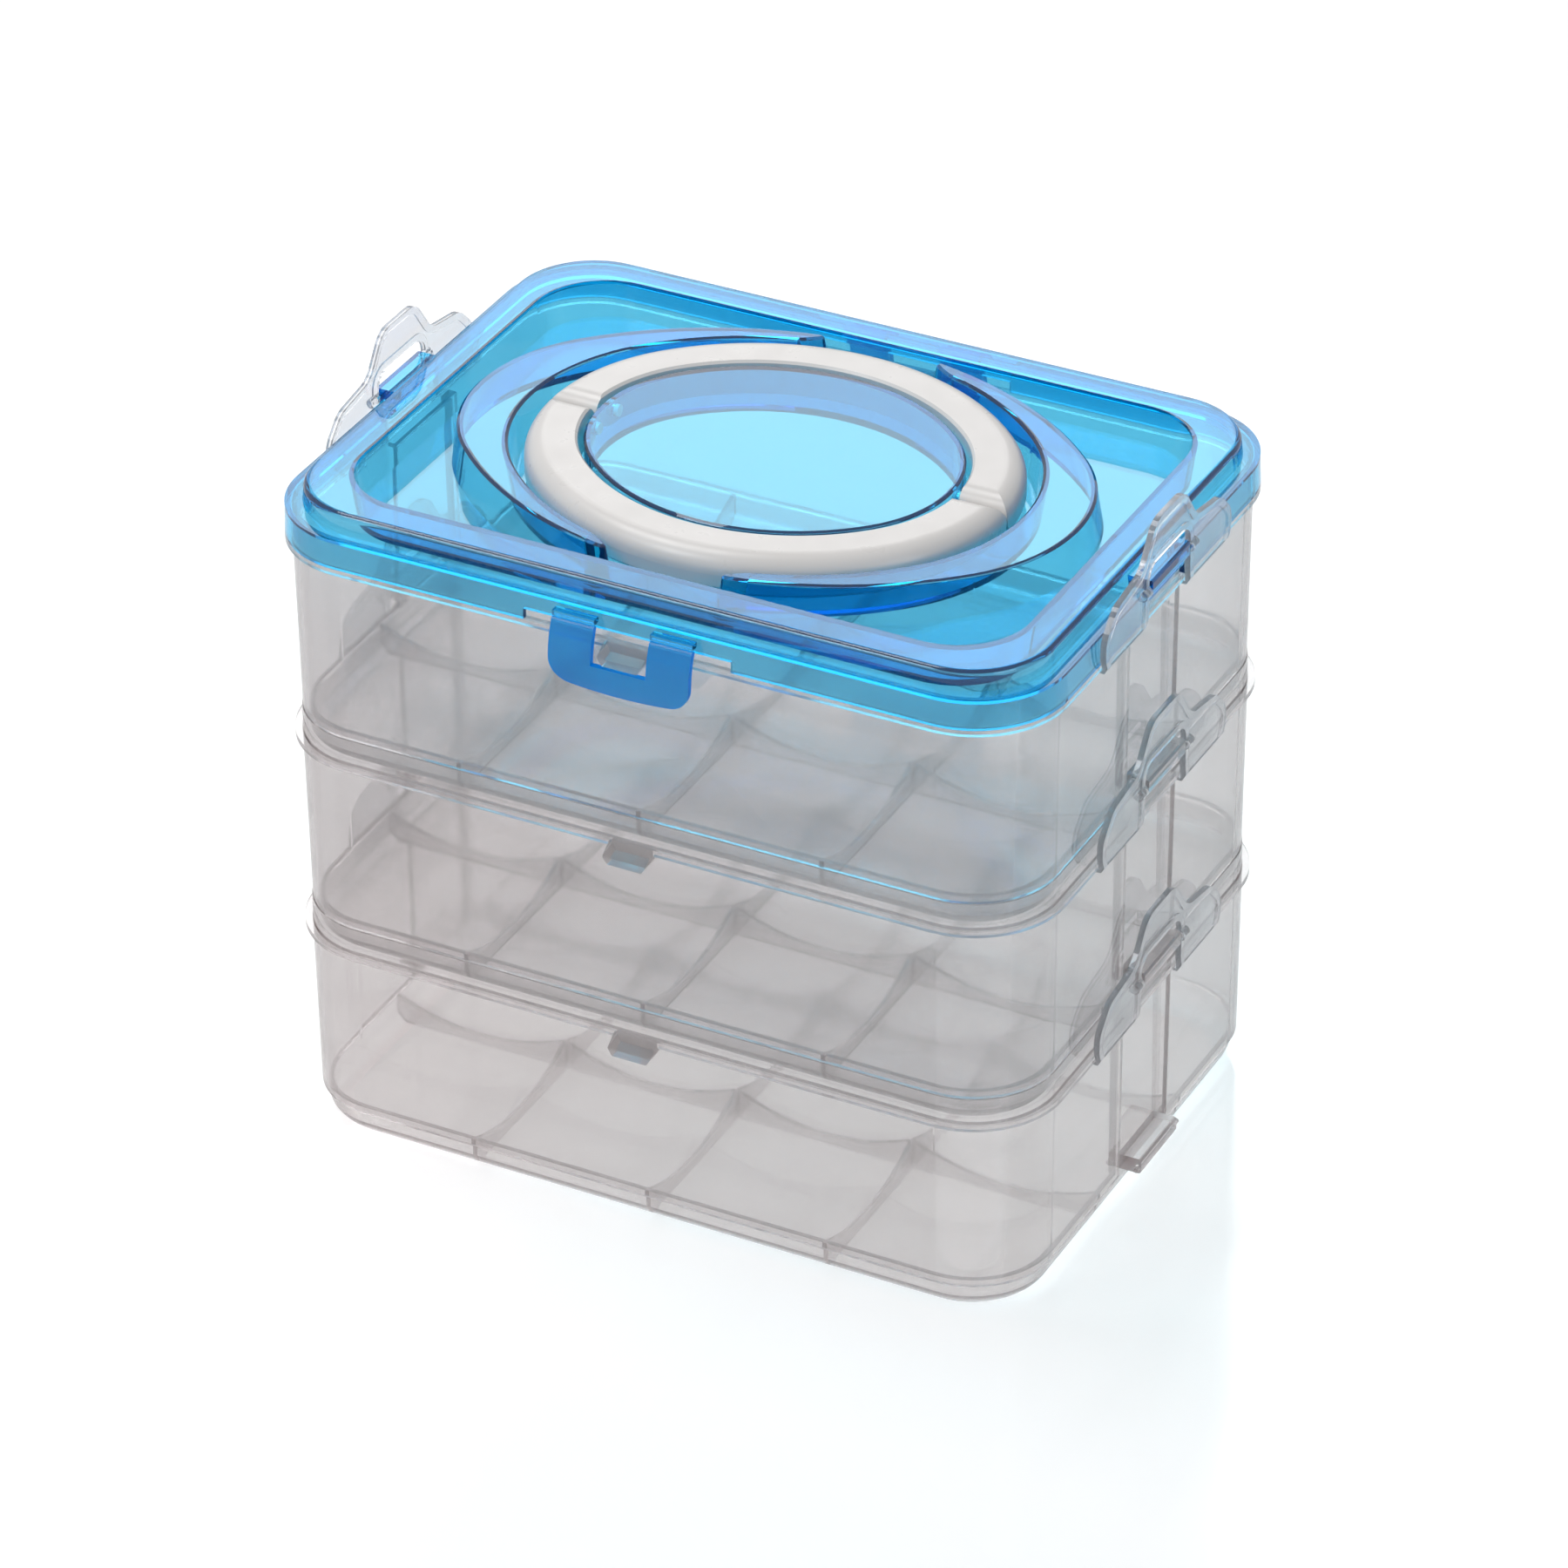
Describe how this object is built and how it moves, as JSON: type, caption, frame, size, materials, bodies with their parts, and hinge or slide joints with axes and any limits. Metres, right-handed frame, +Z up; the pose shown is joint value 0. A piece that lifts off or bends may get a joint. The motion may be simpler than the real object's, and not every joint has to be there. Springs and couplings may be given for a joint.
{
  "type": "egg storage basket",
  "caption": "Stack of clear egg trays under a blue clip-on lid with a folding split-ring carrying handle.",
  "frame": {"origin": "on the table under the middle of the lowest tray", "axes": "+X along the long side towards the right clips, -Y towards the front latch, +Z up"},
  "size_m": [0.2096, 0.159, 0.1911],
  "materials": {
    "clear_tray": "clear moulded polypropylene, faintly frosted",
    "blue_lid": "translucent blue moulded plastic, glossy",
    "white_handle": "off-white ABS, satin",
    "blue_latch": "translucent blue moulded plastic, glossy",
    "clear_clip": "clear moulded plastic, glossy"
  },
  "bodies": {
    "lower_tray": {"lower_tray": "clear_tray"},
    "middle_tray": {"middle_tray": "clear_tray"},
    "upper_tray": {"upper_tray": "clear_tray"},
    "lid": {"lid": "blue_lid"},
    "handle_front_half": {"handle_front_half": "white_handle"},
    "handle_rear_half": {"handle_rear_half": "white_handle"},
    "front_latch": {"front_latch": "blue_latch"},
    "rear_latch": {"rear_latch": "blue_latch"},
    "middle_tray_clip_left": {"middle_tray_clip_left": "clear_clip"},
    "middle_tray_clip_right": {"middle_tray_clip_right": "clear_clip"},
    "upper_tray_clip_left": {"upper_tray_clip_left": "clear_clip"},
    "upper_tray_clip_right": {"upper_tray_clip_right": "clear_clip"},
    "lid_clip_left": {"lid_clip_left": "clear_clip"},
    "lid_clip_right": {"lid_clip_right": "clear_clip"}
  },
  "joints": [
    {"name": "middle_tray_lift", "type": "slide", "parent": "lower_tray", "child": "middle_tray", "axis": [0, 0, 1], "range_m": [0, 0.09]},
    {"name": "upper_tray_lift", "type": "slide", "parent": "middle_tray", "child": "upper_tray", "axis": [0, 0, 1], "range_m": [0, 0.09]},
    {"name": "lid_lift", "type": "slide", "parent": "upper_tray", "child": "lid", "axis": [0, 0, 1], "range_m": [0, 0.09]},
    {"name": "handle_front_half_hinge", "type": "hinge", "parent": "lid", "child": "handle_front_half", "pos_m": [0, -0.005, 0.1762], "axis": [-1, 0, 0], "range_deg": [0, 90]},
    {"name": "handle_rear_half_hinge", "type": "hinge", "parent": "lid", "child": "handle_rear_half", "pos_m": [0, 0.005, 0.1762], "axis": [1, 0, 0], "range_deg": [0, 90]},
    {"name": "front_latch_hinge", "type": "hinge", "parent": "lid", "child": "front_latch", "pos_m": [0, -0.0767, 0.1693], "axis": [-1, 0, 0], "range_deg": [0, 100]},
    {"name": "rear_latch_hinge", "type": "hinge", "parent": "lid", "child": "rear_latch", "pos_m": [0, 0.0767, 0.1693], "axis": [1, 0, 0], "range_deg": [0, 100]},
    {"name": "middle_tray_clip_left_hinge", "type": "hinge", "parent": "middle_tray", "child": "middle_tray_clip_left", "pos_m": [-0.1034, 0, 0.0647], "axis": [0, 1, 0], "range_deg": [0, 12]},
    {"name": "middle_tray_clip_right_hinge", "type": "hinge", "parent": "middle_tray", "child": "middle_tray_clip_right", "pos_m": [0.1034, 0, 0.0647], "axis": [0, -1, 0], "range_deg": [0, 12]},
    {"name": "upper_tray_clip_left_hinge", "type": "hinge", "parent": "upper_tray", "child": "upper_tray_clip_left", "pos_m": [-0.1034, 0, 0.1194], "axis": [0, 1, 0], "range_deg": [0, 12]},
    {"name": "upper_tray_clip_right_hinge", "type": "hinge", "parent": "upper_tray", "child": "upper_tray_clip_right", "pos_m": [0.1034, 0, 0.1194], "axis": [0, -1, 0], "range_deg": [0, 12]},
    {"name": "lid_clip_left_hinge", "type": "hinge", "parent": "lid", "child": "lid_clip_left", "pos_m": [-0.1034, 0, 0.1741], "axis": [0, 1, 0], "range_deg": [0, 35]},
    {"name": "lid_clip_right_hinge", "type": "hinge", "parent": "lid", "child": "lid_clip_right", "pos_m": [0.1034, 0, 0.1741], "axis": [0, -1, 0], "range_deg": [0, 35]}
  ]
}
